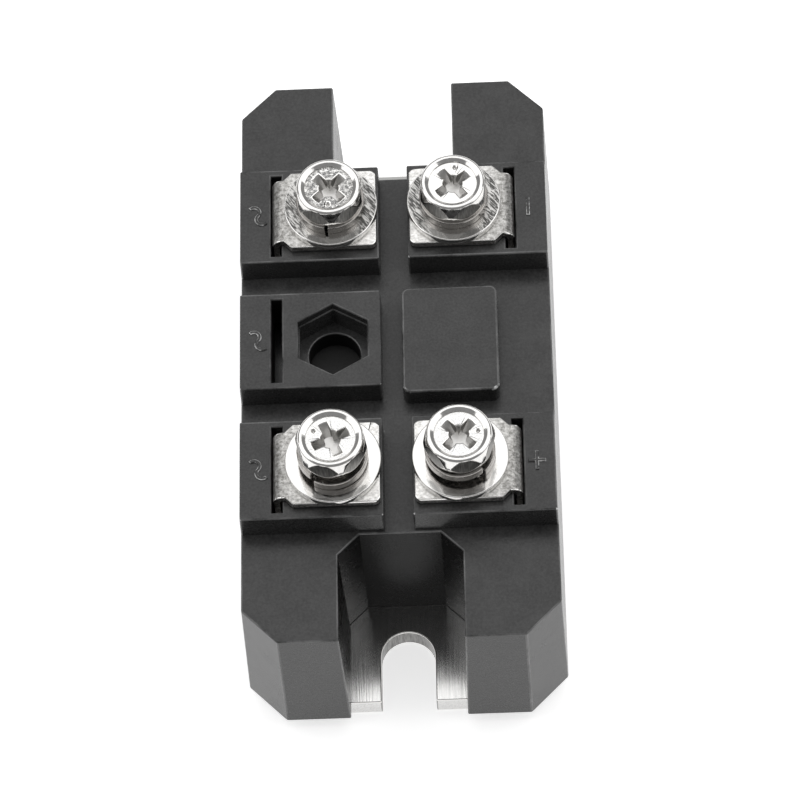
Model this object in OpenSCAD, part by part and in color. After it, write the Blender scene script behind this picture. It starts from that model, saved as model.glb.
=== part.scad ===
// Single-phase bridge rectifier module with four screw terminals.
// Millimetres. The origin is the centre of the mounting face, +Z is up,
// +Y runs along the module and +X points at the direct-current terminals.

/* [Base plate] */
// Width of the housing's rim around the base plate
rim = 1.7; // [1.4:0.1:1.9]
// Thickness of the base plate
plate_t = 3; // [2.6:0.1:4]
// Chamfer on the corners of the base plate
plate_cut = 4; // [3.6:0.1:6]
// Distance of the mounting slot and hole from the ends of the housing
mount_in = 7.8; // [7.2:0.1:9]
// Diameter of the mounting hole and width of the mounting slot
mount_d = 6.8; // [5.4:0.1:7.4]

/* [Housing] */
// Length of the housing at its foot
body_l = 80.4; // [80:0.1:82]
// Width of the housing at its foot
body_w = 40; // [39.6:0.1:42]
// Height of the deck above the mounting face
deck_h = 23.6; // [22.6:0.2:30]
// Height of the housing's foot above the mounting face
foot_h = 2.1; // [1.2:0.1:2.4]
// Draft of the outer walls, in degrees
draft = 1.5; // [0.5:0.1:2]
// Chamfer on the upright outer corners
corner_cut = 4.7; // [3.5:0.1:5.4]
// Thickness of the walls
wall = 2.2; // [1.8:0.05:2.3]
// Thickness of the deck
deck_t = 2; // [1.5:0.1:2.6]
// Width of the mounting notches at the deck
notch_w = 15.3; // [14.8:0.1:15.8]
// Chamfer in the inner corners of the mounting notches
notch_cut = 2.7; // [1:0.1:3]
// Draft of the notch sides, in degrees
notch_draft = 1; // [0.5:0.1:1.5]
// Thickness of the rib that divides each hollow ear
rib_t = 1.5; // [1:0.1:2.5]

/* [Terminal blocks] */
// Height of the terminal blocks above the deck
block_h = 3.95; // [3.4:0.05:6]
// Length of each terminal block
block_l = 13.7; // [13.3:0.1:14.6]
// Distance from one terminal block's centre to the next
block_pitch = 18.1; // [17.8:0.1:18.4]
// Width of the channel between the left and right blocks
channel_w = 3.5; // [2.6:0.1:4.4]
// Draft of the block faces, in degrees
block_draft = 1.1; // [0.5:0.1:2]
// Ledge between the end blocks and the mounting notches
ledge = 0.4; // [0.2:0.05:0.8]
// Distance of each busbar slot from the sides of the housing's foot
slot_in = 5.25; // [5:0.05:5.6]
// Shift of the terminal screws from halfway between channel and slot
screw_shift = 0.5; // [0.2:0.05:0.8]
// Diameter of the blind hole under each nut
tip_hole_d = 6.5; // [5.6:0.1:7.6]
// Depth of the widened mouth of the nut pockets
mouth_h = 1.2; // [0.6:0.1:2]

/* [Blank label panel] */
// Width of the label panel
label_w = 12; // [9:0.1:12.4]
// Length of the label panel
label_l = 14.9; // [10:0.1:16]
// Height of the label panel above the deck
label_h = 3; // [1:0.1:3.8]
// Distance of the panel's middle from the centre line
label_x = 6.8; // [6.6:0.1:8]
// Radius of the panel's upright corners
label_r = 1; // [0.4:0.1:2.5]

/* [Polarity marks] */
// Distance of the raised marks from the sides of the housing's foot
mark_in = 2.95; // [2.8:0.05:3.1]
// Width of the strokes of the marks
mark_stroke = 0.45; // [0.3:0.05:0.6]
// Height of the raised marks
mark_h = 0.2; // [0.1:0.05:0.4]
// Length of the plus and minus marks
mark_l = 2.6; // [1.6:0.1:3.4]
// Width of the plus mark across the module
plus_w = 2.2; // [1.2:0.1:3]
// Radius of the two bows of the wave mark
mark_bow = 0.72; // [0.5:0.02:0.8]

/* [Busbars] */
// Thickness of the terminal busbars
bus_t = 1; // [0.8:0.05:1.2]
// Width of the flat under each screw
tab_w = 11; // [10.4:0.1:11.6]
// Width of the bent neck and of the riser
neck_w = 9; // [7:0.1:9.2]
// Inner radius of the busbar bends
bend_r = 0.5; // [0.3:0.05:0.7]
// Radius of the corners of the flat
tab_r = 0.8; // [0.3:0.1:2]
// Diameter of the screw hole in the flat
tab_hole_d = 5.8; // [5.5:0.1:6.5]
// Length of the soldered foot
foot_l = 3.25; // [2:0.05:3.6]
// Height of the riser's wide part
shoulder_h = 8; // [4:0.5:9]

/* [Fasteners] */
// Thread diameter of the terminal screws
screw_d = 5; // [4.6:0.1:5]
// Length of the terminal screws under the head
screw_l = 10; // [8:0.5:12]
// Width across the flats of the screw heads
head_af = 8; // [7.6:0.1:8.6]
// Diameter of the screw heads over their rounded corners
head_corner_d = 8.8; // [8.6:0.05:9]
// Height of the screw heads
head_h = 3.2; // [3:0.1:4.2]
// Diameter of the dish in the screw heads
dish_d = 6.4; // [5.4:0.1:6.8]
// Depth of the dish in the screw heads
dish_h = 0.45; // [0.2:0.05:0.6]
// Width of the cross recess from tip to tip
recess_d = 4.7; // [3.6:0.1:5]
// Depth of the cross recess below the dish
recess_h = 1.9; // [1.2:0.1:2.1]
// Width of each arm of the cross recess
recess_bar = 1.1; // [0.7:0.1:1.4]
// Diameter of the core of the cross recess at the dish
recess_core = 2.5; // [1.8:0.1:3]
// Diameter of the core of the cross recess at its floor
recess_tip = 1.4; // [0.8:0.1:1.8]
// Width across the flats of the nuts
nut_af = 8; // [7.6:0.1:8.2]
// Height of the nuts
nut_h = 4.7; // [3.6:0.1:5]
// Outer diameter of the flat washers
washer_d = 11.8; // [10:0.1:12.4]
// Thickness of the flat washers
washer_t = 1; // [0.8:0.1:1.4]
// Outer diameter of the spring washers
spring_d = 8.6; // [8:0.1:9.4]
// Thickness of the spring washers
spring_t = 1.3; // [1:0.1:1.6]
// Opening of the split in the spring washers, in degrees
spring_split = 5; // [2:1:16]
// Rise of the two spring washers that are not yet tightened
spring_rise = 1.25; // [0.3:0.05:1.3]

/* [Circuit] */
// Length of the ceramic beyond the conductor pads
ceramic_margin = 0.3; // [0.1:0.05:0.4]
// Thickness of the ceramic substrate
ceramic_t = 1; // [0.6:0.1:1.4]
// Thickness of the copper conductor pads
pad_t = 0.8; // [0.3:0.1:1.2]
// Gap between neighbouring conductor pads
pad_gap = 1.5; // [1:0.1:2]
// Side of the square diode chips
chip_w = 8; // [6:0.1:8.4]
// Thickness of the diode chips
chip_t = 0.5; // [0.3:0.05:0.8]
// Distance of the chips from the module's middle, along it
chip_y = 7; // [6.4:0.1:7.4]
// Distance of the left chips from the outer edge of their pads
chip_out = 0.9; // [0.5:0.1:1.4]
// Distance of the right chips from the inner edge of their pad
chip_in = 2.25; // [1.6:0.05:3]
// Thickness of the jumper and bridge straps
strap_t = 0.8; // [0.5:0.05:1]
// Width of the straps
strap_w = 5; // [3.5:0.1:5.2]
// Length of the soldered feet of the straps
strap_foot = 3; // [2:0.1:3.3]
// Underside of the straps above the pads
strap_h = 2.4; // [2.2:0.1:3]
// Underside of the negative bridge above the pads
bridge_h = 4.6; // [4.2:0.1:5]
// Depth of the silicone gel over the base plate
gel_h = 9; // [8:0.1:10]

/* [Hidden] */
$fn = 64;

big = 2 * (body_l + body_w);       // reach of the shapes that only cut
over = 1;                          // reach of a cut past the face it opens
eps = 0.01;                        // overlap of two cuts that meet
fit_gap = 0.1;                     // base plate in its seat
nut_gap = 0.2;                     // nut in its pocket, on each side
mouth_gap = 0.12;                  // step at the mouth of the pockets
slot_gap = 0.175;                  // busbar in its slot, on each side
slot_end_gap = 0.4;                // busbar in its slot, at each end
thread_gap = 0.1;                  // nut bore over the plain screw shank
washer_gap = 0.5;                  // flat washers' bores over the screw shank
spring_gap = 0.15;                 // spring washer around the shank, on each side
nut_proud = 0.2;                   // nuts above the blocks
tip_gap = 1;                       // screw tip above the floor of its hole
air_gap = 1.6;                     // unfilled space under the deck
tab_back = 0.35;                   // busbar flats behind the edge of the block
shoulder_up = 1.2;                 // top of the riser's wide part over the deck
pad_margin = 0.65;                 // pads beyond the risers
foot_margin = 0.1;                 // pads beyond the ends of the feet
foot_gap = 0.45;                   // feet of the jumpers beside the left chips
strap_in = 1;                      // bends of the straps from the edge of a pad
strap_off = 0.5;                   // bends of the jumpers outside the chip
bridge_in = 0.6;                   // bend of the bridge from the edge of its pad
chamfer_turn = 30;                 // slope of the turned corners, in degrees
turn_in = 0.05;                    // edge of the turned corners inside the flats
head_waist = 0.4;                  // height of the round band on the heads' corners
spring_steps = 48;                 // segments of each spring washer

slot_x = body_w / 2 - slot_in;
screw_x = (channel_w / 2 + slot_x) / 2 - screw_shift;
mark_x = body_w / 2 - mark_in;
block_top = deck_h + block_h;
deck_under = deck_h - deck_t;
core_l = 2 * (block_pitch + block_l / 2 + ledge);
inner_cut = corner_cut - wall * (2 - sqrt(2));
ear_in = notch_w / 2 + wall;       // hollow of the ears, seen from the notch
ear_back = core_l / 2 + wall;      // hollow of the ears, end towards the middle
mount_y = body_l / 2 - mount_in;
plate_l = body_l - 2 * rim;
plate_w = body_w - 2 * rim;

tab_z = block_top + nut_proud;     // underside of the busbar flats
pocket_z = tab_z - nut_h;
pocket_af = nut_af + 2 * nut_gap;
washer_z = tab_z + bus_t;
spring_z = washer_z + washer_t;
tip_z = spring_z + spring_t - screw_l;
tip_hole_z = tip_z - tip_gap;
boss_d = tip_hole_d + 2 * deck_t;
bend_x = slot_x - bus_t / 2 - bend_r;   // where the flats start to bend
tab_x = channel_w / 2 + tab_back;       // inner end of the flats
tab_step = (tab_w - neck_w) / 2;        // 45 degree shoulders of the flats
slot_w = bus_t + 2 * slot_gap;
slot_l = tab_w + 2 * slot_end_gap;
shoulder_z = deck_h + shoulder_up;

pad_z = plate_t + ceramic_t;            // underside of the conductor pads
pad_top = pad_z + pad_t;
pad_x = slot_x + bus_t / 2 + pad_margin;         // outer edge of the pads
pad_y = block_pitch + neck_w / 2 + foot_margin;  // ends of the pads
split_y = block_pitch - neck_w / 2 - foot_margin - pad_gap;  // end of the positive pad
leg_x = 2 * bend_r + strap_t;           // reach of a strap's leg
ac_pad_w = chip_out + chip_w + foot_gap + strap_foot + leg_x + strap_in;
ac_edge = ac_pad_w - pad_x;             // inner edge of the alternating-current pads
dc_edge = ac_edge + pad_gap;            // inner edge of the direct-current pads
chip_left_x = chip_out + chip_w / 2 - pad_x;
chip_right_x = dc_edge + chip_in + chip_w / 2;
strap_z = pad_top + strap_h;
bridge_z = pad_top + bridge_h;
gel_top = plate_t + gel_h;
fill_top = deck_under - air_gap;

// Corner signs: [x, y] of each screw, how far its spring washer is open,
// and the turns in degrees of its head, its cross recess and the washer's split.
screws = [
    [-1, -1, spring_rise, 46, 24, 235],
    [ 1, -1, spring_rise, 10, 47, 312],
    [-1,  1, 0, 34, 44, 263],
    [ 1,  1, 0, 26, 37, 60]
];
// Corner signs of the chips, numbered as the nodes are
chips = [[1, -1], [1, 1], [-1, -1], [-1, 1]];

// ---- shared shapes -------------------------------------------------------

// Slab between two faces that lean together as they rise; w is its width at z0
module leaning_slab(w, z0, z1, angle) {
    lean = (z1 - z0) * tan(angle);
    rotate([90, 0, 0])
        linear_extrude(big, center = true)
            polygon([[-w / 2, z0], [w / 2, z0],
                     [w / 2 - lean, z1], [-w / 2 + lean, z1]]);
}

// Drafted block with chamfered corners; w and l are its size at the foot
module drafted_block(w, l, cut, z1) {
    across_corners = (w + l - 2 * cut) / sqrt(2);
    intersection() {
        leaning_slab(w, foot_h, z1, draft);
        rotate(90) leaning_slab(l, foot_h, z1, draft);
        rotate(45) leaning_slab(across_corners, foot_h, z1, draft);
        rotate(-45) leaning_slab(across_corners, foot_h, z1, draft);
    }
}

module chamfered_rect(l, w, cut) {
    x = w / 2;
    y = l / 2;
    polygon([[x, y - cut], [x - cut, y], [-x + cut, y], [-x, y - cut],
             [-x, -y + cut], [-x + cut, -y], [x - cut, -y], [x, -y + cut]]);
}

module rounded_rect(w, l, r) {
    square([w - 2 * r, l], center = true);
    square([w, l - 2 * r], center = true);
    for (sx = [-1, 1], sy = [-1, 1])
        translate([sx * (w / 2 - r), sy * (l / 2 - r)]) circle(r);
}

module hexagon(af) {
    rotate(30) circle(d = af / cos(30), $fn = 6);
}

module at_screws() {
    for (s = screws)
        translate([s[0] * screw_x, s[1] * block_pitch, 0]) children();
}

// Quarter bend of a strip: inner radius r, from straight up to straight out
module quarter_bend(r, t, w) {
    rotate([90, 0, 0])
        rotate_extrude(angle = 90)
            translate([r, -w / 2]) square([t, w]);
}

// Leg that starts inside the edge of a strip lying on z = 0 and drops to a foot
// h below. The foot runs on, or comes back under the strip.
module strip_leg(h, w, t, foot, back) {
    low = -h + t + bend_r;
    translate([-over, -w / 2, 0]) cube([over, w, t]);
    translate([0, 0, -bend_r]) quarter_bend(bend_r, t, w);
    translate([bend_r, -w / 2, low]) cube([t, w, -low - bend_r]);
    if (back) {
        translate([0, 0, low]) mirror([0, 0, 1]) quarter_bend(bend_r, t, w);
        translate([-foot, -w / 2, -h]) cube([foot, w, t]);
    } else {
        translate([2 * bend_r + t, 0, low])
            rotate([0, 180, 0]) quarter_bend(bend_r, t, w);
        translate([2 * bend_r + t, -w / 2, -h]) cube([foot, w, t]);
    }
}

// ---- base plate ----------------------------------------------------------

module plate_outline(gap) {
    chamfered_rect(plate_l + 2 * gap, plate_w + 2 * gap, plate_cut);
}

module base_plate() {
    color("gainsboro")
    difference() {
        linear_extrude(plate_t) plate_outline(0);
        // round hole at the rear
        translate([0, mount_y, -over]) cylinder(d = mount_d, h = plate_t + 2 * over);
        // open slot at the front
        translate([0, -mount_y, -over]) cylinder(d = mount_d, h = plate_t + 2 * over);
        translate([-mount_d / 2, -big, -over])
            cube([mount_d, big - mount_y, plate_t + 2 * over]);
    }
}

// ---- housing -------------------------------------------------------------

module inner_body(z1) {
    drafted_block(body_w - 2 * wall, body_l - 2 * wall, inner_cut, z1);
}

// Round bosses under the deck that take the tips of the screws
module boss() {
    translate([0, 0, tip_hole_z - deck_t])
        cylinder(d = boss_d, h = block_top - tip_hole_z);
}

// Room for the circuit between z0 and z1, clear of the bosses
module circuit_room(z0, z1) {
    half = core_l / 2 - wall;
    difference() {
        intersection() {
            inner_body(deck_under);
            union() {
                translate([-big / 2, -half, z0]) cube([big, 2 * half, z1 - z0]);
                for (side = [-1, 1])
                    translate([side * (ear_in + big / 2) - big / 2, -core_l / 2, z0])
                        cube([big, core_l, z1 - z0]);
            }
        }
        at_screws() boss();
        translate([-screw_x, 0, 0]) boss();
    }
}

// Hollow of one ear, open at the foot and divided by a rib
module ear_hollow() {
    span = body_l / 2 - wall - ear_back;
    difference() {
        intersection() {
            inner_body(deck_under);
            translate([ear_in, ear_back, 0]) cube([big, big, deck_under]);
        }
        translate([0, ear_back + (span - rib_t) / 2, 0])
            cube([big, rib_t, deck_h]);
    }
}

// Mounting notch at the +Y end, wider at the deck than at the foot
module notch() {
    back = notch_w / 2 - notch_cut;
    flare = notch_cut + wall;
    narrow = notch_w - 2 * (deck_h + over) * tan(notch_draft);
    intersection() {
        leaning_slab(narrow, -over, deck_h + over, -notch_draft);
        translate([0, core_l / 2, -over])
            linear_extrude(deck_h + 2 * over)
                polygon([[-back, 0], [back, 0], [back + flare, flare],
                         [back + flare, big], [-back - flare, big],
                         [-back - flare, flare]]);
    }
}

// Terminal block: its outer side is cut by the drafted body later
module block_blank() {
    flare = 2 * over * tan(block_draft);
    intersection() {
        translate([-big / 2 - channel_w / 2, 0, deck_h])
            leaning_slab(big + flare, -over, block_h, block_draft);
        translate([0, 0, deck_h])
            rotate(90) leaning_slab(block_l + flare, -over, block_h, block_draft);
        translate([-big, -block_l, deck_h - over])
            cube([big, 2 * block_l, block_h + over]);
    }
}

module nut_pocket() {
    translate([0, 0, pocket_z]) linear_extrude(block_h + nut_h) hexagon(pocket_af);
    translate([0, 0, block_top - mouth_h])
        linear_extrude(block_h) hexagon(pocket_af + 2 * mouth_gap);
    translate([0, 0, tip_hole_z])
        cylinder(d = tip_hole_d, h = pocket_z - tip_hole_z + over);
}

module busbar_slot() {
    translate([-slot_w / 2, -slot_l / 2, deck_under - over])
        cube([slot_w, slot_l, block_h + deck_t + 2 * over]);
}

module block_cuts(side) {
    translate([side * screw_x, 0, 0]) nut_pocket();
    translate([side * slot_x, 0, 0]) busbar_slot();
}

module plus_mark() {
    minus_mark();
    square([plus_w, mark_stroke], center = true);
}

module minus_mark() {
    square([mark_stroke, mark_l], center = true);
}

// One bow of the wave: part of a ring that bulges to +X
module wave_bow() {
    reach = 3 * mark_bow;
    intersection() {
        difference() {
            circle(mark_bow + mark_stroke / 2);
            circle(mark_bow - mark_stroke / 2);
        }
        polygon([[0, 0], [-reach, reach], [reach, reach], [reach, -reach]]);
    }
}

module wave_mark() {
    half = mark_bow / sqrt(2);
    for (turn = [0, 180])
        rotate(turn) translate([-half, half]) wave_bow();
}

module mark(side, y) {
    translate([side * mark_x, y, block_top - mark_h])
        linear_extrude(2 * mark_h) children();
}

module housing() {
    color("#444444") {
        difference() {
            union() {
                drafted_block(body_w, body_l, corner_cut, deck_h);
                intersection() {
                    drafted_block(body_w, body_l, corner_cut, block_top);
                    union() {
                        for (row = [-1:1])
                            translate([0, row * block_pitch, 0]) block_blank();
                        for (row = [-1, 1])
                            translate([0, row * block_pitch, 0])
                                mirror([1, 0, 0]) block_blank();
                    }
                }
                translate([label_x, 0, deck_h - over])
                    linear_extrude(label_h + over)
                        rounded_rect(label_w, label_l, label_r);
            }
            notch();
            rotate(180) notch();
            for (row = [-1:1]) translate([0, row * block_pitch, 0]) block_cuts(-1);
            for (row = [-1, 1]) translate([0, row * block_pitch, 0]) block_cuts(1);
            circuit_room(foot_h - over, deck_under);
            for (sx = [0, 1], sy = [0, 1])
                mirror([sx, 0, 0]) mirror([0, sy, 0]) ear_hollow();
            translate([0, 0, -over])
                linear_extrude(plate_t + over) plate_outline(fit_gap);
        }
        for (row = [-1:1]) mark(-1, row * block_pitch) wave_mark();
        mark(1, -block_pitch) plus_mark();
        mark(1, block_pitch) minus_mark();
    }
}

// ---- circuit under the deck ---------------------------------------------

module ceramic_substrate() {
    x = pad_x + ceramic_margin;
    y = pad_y + ceramic_margin;
    color("white") translate([-x, -y, plate_t]) cube([2 * x, 2 * y, ceramic_t]);
}

module pad(x0, x1, y0, y1) {
    color("peru") translate([x0, y0, pad_z]) cube([x1 - x0, y1 - y0, pad_t]);
}

module ac_pad(end) {
    if (end < 0) pad(-pad_x, ac_edge, -pad_y, -pad_gap / 2);
    else pad(-pad_x, ac_edge, pad_gap / 2, pad_y);
}

module positive_pad() {
    pad(dc_edge, pad_x, -pad_y, split_y);
}

module negative_pad() {
    pad(dc_edge, pad_x, split_y + pad_gap, pad_y);
}

module diode_chip(i) {
    x = chips[i][0] > 0 ? chip_right_x : chip_left_x;
    color("dimgray")
        translate([x - chip_w / 2, chips[i][1] * chip_y - chip_w / 2, pad_top])
            cube([chip_w, chip_w, chip_t]);
}

// Hat-shaped strap from an alternating-current pad to the chip beside it
module jumper(end) {
    left = ac_edge - strap_in;
    right = chip_right_x - chip_w / 2 - strap_off;
    color("chocolate")
    translate([0, end * chip_y, strap_z]) {
        translate([left, -strap_w / 2, 0]) cube([right - left, strap_w, strap_t]);
        translate([right, 0, 0])
            strip_leg(strap_h - chip_t, strap_w, strap_t, strap_foot, false);
        translate([left, 0, 0])
            mirror([1, 0, 0]) strip_leg(strap_h, strap_w, strap_t, strap_foot, false);
    }
}

// Strap that joins the tops of the left chips to the negative pad
module negative_bridge() {
    x0 = chip_left_x - strap_w / 2;
    y0 = -chip_y - strap_w / 2;
    end_y = block_pitch;
    turn_x = dc_edge + bridge_in;
    color("chocolate")
    translate([0, 0, bridge_z]) {
        translate([x0, y0, 0])
            cube([strap_w, end_y + strap_w / 2 - y0, strap_t]);
        translate([x0, end_y - strap_w / 2, 0])
            cube([turn_x - x0, strap_w, strap_t]);
        for (end = [-1, 1])
            translate([x0 + strap_w, end * chip_y, 0])
                strip_leg(bridge_h - chip_t, strap_w, strap_t, strap_w, true);
        translate([turn_x, end_y, 0])
            strip_leg(bridge_h, strap_w, strap_t, strap_foot, false);
    }
}

// ---- terminals -----------------------------------------------------------

module tab_outline() {
    wide_end = bend_x - tab_step;
    difference() {
        union() {
            translate([tab_x + tab_r, -tab_w / 2])
                square([wide_end - tab_x - tab_r, tab_w]);
            translate([tab_x, -tab_w / 2 + tab_r])
                square([tab_r, tab_w - 2 * tab_r]);
            for (side = [-1, 1])
                translate([tab_x + tab_r, side * (tab_w / 2 - tab_r)]) circle(tab_r);
            polygon([[wide_end, -tab_w / 2], [bend_x, -neck_w / 2],
                     [bend_x, neck_w / 2], [wide_end, tab_w / 2]]);
        }
        translate([screw_x, 0]) circle(d = tab_hole_d);
    }
}

// Busbar on the +X side: soldered foot, riser, bend and screw flat
module busbar() {
    color("silver")
    translate([0, 0, tab_z]) {
        linear_extrude(bus_t) tab_outline();
        translate([bend_x, 0, 0])
            strip_leg(tab_z - pad_top, neck_w, bus_t, foot_l, true);
        translate([slot_x - bus_t / 2, -tab_w / 2, shoulder_z - shoulder_h - tab_z])
            cube([bus_t, tab_w, shoulder_h]);
    }
}

module terminal(side, end) {
    translate([0, end * block_pitch, 0]) mirror([side < 0 ? 1 : 0, 0, 0]) busbar();
}

// ---- fasteners -----------------------------------------------------------

// Hexagon whose corners are turned off to a cone at both ends. The cones reach
// the radius at the height rise from each end.
module turned_hex(af, h, radius, rise) {
    r = af / 2 - turn_in;
    intersection() {
        linear_extrude(h) hexagon(af);
        rotate_extrude()
            polygon([[0, 0], [r, 0], [radius, rise], [radius, h - rise], [r, h], [0, h]]);
    }
}

module nut() {
    reach = nut_af / 2 / cos(30) + over;
    rise = (reach - nut_af / 2 + turn_in) * tan(chamfer_turn);
    difference() {
        turned_hex(nut_af, nut_h, reach, rise);
        translate([0, 0, -over]) cylinder(d = screw_d + thread_gap, h = nut_h + 2 * over);
    }
}

module terminal_nuts() {
    color("silver") at_screws() translate([0, 0, pocket_z]) nut();
}

module flat_washers() {
    color("silver")
    at_screws()
        translate([0, 0, washer_z])
            difference() {
                cylinder(d = washer_d, h = washer_t);
                translate([0, 0, -over])
                    cylinder(d = screw_d + washer_gap, h = washer_t + 2 * over);
            }
}

// Split ring that climbs by rise from one end to the other
module spring_washer(rise, turn) {
    r0 = screw_d / 2 + spring_gap;
    r1 = spring_d / 2;
    start = turn + spring_split / 2;
    corners = [for (i = [0:spring_steps])
        let (a = start + i * (360 - spring_split) / spring_steps,
             z = rise * i / spring_steps)
        for (p = [[r0, 0], [r1, 0], [r1, spring_t], [r0, spring_t]])
            [p[0] * cos(a), p[0] * sin(a), z + p[1]]];
    sides = [for (i = [0:spring_steps - 1], k = [0:3])
        let (a = 4 * i + k, b = 4 * i + (k + 1) % 4)
        each [[a, b + 4, a + 4], [a, b, b + 4]]];
    last = 4 * spring_steps;
    polyhedron(corners, concat([[0, 2, 1], [0, 3, 2]], sides,
        [[last, last + 1, last + 2], [last, last + 2, last + 3]]));
}

module spring_washers() {
    color("darkgray")
    for (s = screws)
        translate([s[0] * screw_x, s[1] * block_pitch, spring_z])
            spring_washer(s[2], s[5]);
}

module cross_recess() {
    translate([0, 0, -recess_h]) {
        intersection() {
            cylinder(d1 = recess_core, d2 = recess_d, h = recess_h + eps);
            for (turn = [0, 90])
                rotate(turn)
                    translate([-recess_d, -recess_bar / 2, 0])
                        cube([2 * recess_d, recess_bar, recess_h + over]);
        }
        cylinder(d1 = recess_tip, d2 = recess_core, h = recess_h + eps);
    }
}

module screw(head_turn, recess_turn) {
    difference() {
        union() {
            rotate(head_turn - 30)
                turned_hex(head_af, head_h, head_corner_d / 2, (head_h - head_waist) / 2);
            translate([0, 0, -screw_l]) cylinder(d = screw_d, h = screw_l + head_h / 2);
        }
        translate([0, 0, head_h - dish_h])
            cylinder(d1 = dish_d - dish_h, d2 = dish_d + dish_h, h = 2 * dish_h);
        translate([0, 0, head_h - dish_h]) rotate(recess_turn) cross_recess();
    }
}

module terminal_screws() {
    color("lightgray")
    for (s = screws)
        translate([s[0] * screw_x, s[1] * block_pitch, spring_z + spring_t + s[2]])
            screw(s[3], s[4]);
}

// ---- fillings ------------------------------------------------------------

module silicone_gel() {
    color("aliceblue", 0.4)
    difference() {
        circuit_room(plate_t, gel_top);
        ceramic_substrate();
        ac_pad(-1);
        ac_pad(1);
        positive_pad();
        negative_pad();
        for (i = [0:3]) diode_chip(i);
        jumper(-1);
        jumper(1);
        negative_bridge();
        for (side = [-1, 1], end = [-1, 1]) terminal(side, end);
    }
}

module potting_epoxy() {
    color("black")
    difference() {
        circuit_room(gel_top, fill_top);
        for (side = [-1, 1], end = [-1, 1]) terminal(side, end);
    }
}

base_plate();
housing();
ceramic_substrate();
ac_pad(-1);  // ac_pad_front
ac_pad(1);  // ac_pad_rear
positive_pad();
negative_pad();
for (i = [0:3])
    diode_chip(i);
jumper(-1);  // jumper_front
jumper(1);  // jumper_rear
negative_bridge();
terminal(-1, -1);  // terminal_ac_front
terminal(-1, 1);  // terminal_ac_rear
terminal(1, -1);  // terminal_positive
terminal(1, 1);  // terminal_negative
terminal_nuts();
flat_washers();
spring_washers();
terminal_screws();
silicone_gel();
potting_epoxy();
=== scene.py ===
# %% [markdown]
# # A bridge rectifier module with four screw terminals
#
# A bridge rectifier turns alternating current into direct current. Four diode
# chips sit on a ceramic in the bottom of a black plastic box, four nickel-plated
# busbars come up through its deck, and each is bent over a nut that takes a
# terminal screw. A metal plate under the circuit carries the heat away.
#
# The solids are already made, in metres and in their places. This lesson gives
# them the look of the real thing: rounded edges, turned and stamped details, and
# a finish for every material.

from math import cos, radians, sin, tan

import bmesh
import bpy
from mathutils import Matrix, Vector


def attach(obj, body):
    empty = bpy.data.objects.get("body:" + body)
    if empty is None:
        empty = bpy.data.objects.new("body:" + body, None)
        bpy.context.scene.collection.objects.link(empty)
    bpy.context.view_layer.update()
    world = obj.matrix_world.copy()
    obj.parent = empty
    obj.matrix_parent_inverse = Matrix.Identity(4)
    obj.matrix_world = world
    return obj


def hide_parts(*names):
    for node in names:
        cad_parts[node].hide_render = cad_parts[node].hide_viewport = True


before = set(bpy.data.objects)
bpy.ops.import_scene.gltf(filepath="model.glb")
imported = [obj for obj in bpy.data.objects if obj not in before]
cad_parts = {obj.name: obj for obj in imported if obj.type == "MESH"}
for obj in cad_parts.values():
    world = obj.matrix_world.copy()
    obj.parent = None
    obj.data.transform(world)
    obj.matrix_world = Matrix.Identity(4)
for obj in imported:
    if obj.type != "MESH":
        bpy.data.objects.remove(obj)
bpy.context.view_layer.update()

# %% [markdown]
# Everything on this part is a few millimetres in size, so places and sizes are
# written in millimetres and multiplied by MM where Blender wants metres.
#
# Edit-mode tools act on whatever is selected, and loading leaves all the solids
# selected. So each step first selects one object alone, and inside it the edges
# or faces are picked by a test of where they are or which way they face.

# %% Helpers for selecting
MM = 0.001


def only(piece):
    """Selects this object alone and makes it the active one."""
    for other in list(bpy.context.selected_objects):
        other.select_set(False)
    piece.select_set(True)
    bpy.context.view_layer.objects.active = piece


def pick(piece, kind, test):
    """In edit mode, selects the edges or faces that pass a test, and counts them."""
    bpy.ops.mesh.select_mode(type=kind)
    bpy.ops.mesh.select_all(action="DESELECT")
    mesh = bmesh.from_edit_mesh(piece.data)
    found = [part for part in (mesh.edges if kind == "EDGE" else mesh.faces) if test(part)]
    for part in found:
        part.select_set(True)
    mesh.select_flush_mode()
    bmesh.update_edit_mesh(piece.data)
    return len(found)


only(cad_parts["housing"])
print("selected:", [piece.name for piece in bpy.context.selected_objects])

# %% [markdown]
# ## Camera
#
# The module is seen from high above its front end with a long lens, so that its
# sides hardly run together. Three directions at right angles turn the camera:
# what it sees as right, as down and as forward.

# %% Camera
right = Vector((0.99881305, -0.01637174, -0.04587439))
down = Vector((-0.03637338, -0.87709998, -0.4789286))
forward = Vector((-0.03239553, 0.48002874, -0.8766544))

camera_data = bpy.data.cameras.new("camera")
camera_data.lens = 187.89
camera_data.sensor_width = 36
camera_data.clip_start = 0.01
camera = bpy.data.objects.new("camera", camera_data)
bpy.context.scene.collection.objects.link(camera)
turn = Matrix((right, -down, -forward)).transposed().to_4x4()
camera.matrix_world = Matrix.Translation(Vector((17.108, -255.691, 477.994)) * MM) @ turn
bpy.context.scene.camera = camera
print("camera", round(camera.location.length, 3), "m from the module")

# %% [markdown]
# ## Rounded edges on the solids
#
# No real edge is perfectly sharp. A moulded edge takes the small radius of the
# mould, and a stamped one is worn round, and that narrow band is what catches the
# light and draws the shape. The solids come as loose triangles, so a copy is
# merged and its flat faces are joined before its long edges are bevelled.
#
# The bevel's own faces can take a second finish, which is how worn edges are made
# lighter than the flats; on the housing that lighter band is partly wear and partly
# a painted highlight. The bevel tool only accepts a slot that the object has,
# so the copy gets empty slots, which are filled later.

# %% A merged copy of a solid


def empty_slots(piece, count=5):
    piece.data.materials.clear()
    for number in range(count):
        piece.data.materials.append(None)


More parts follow.
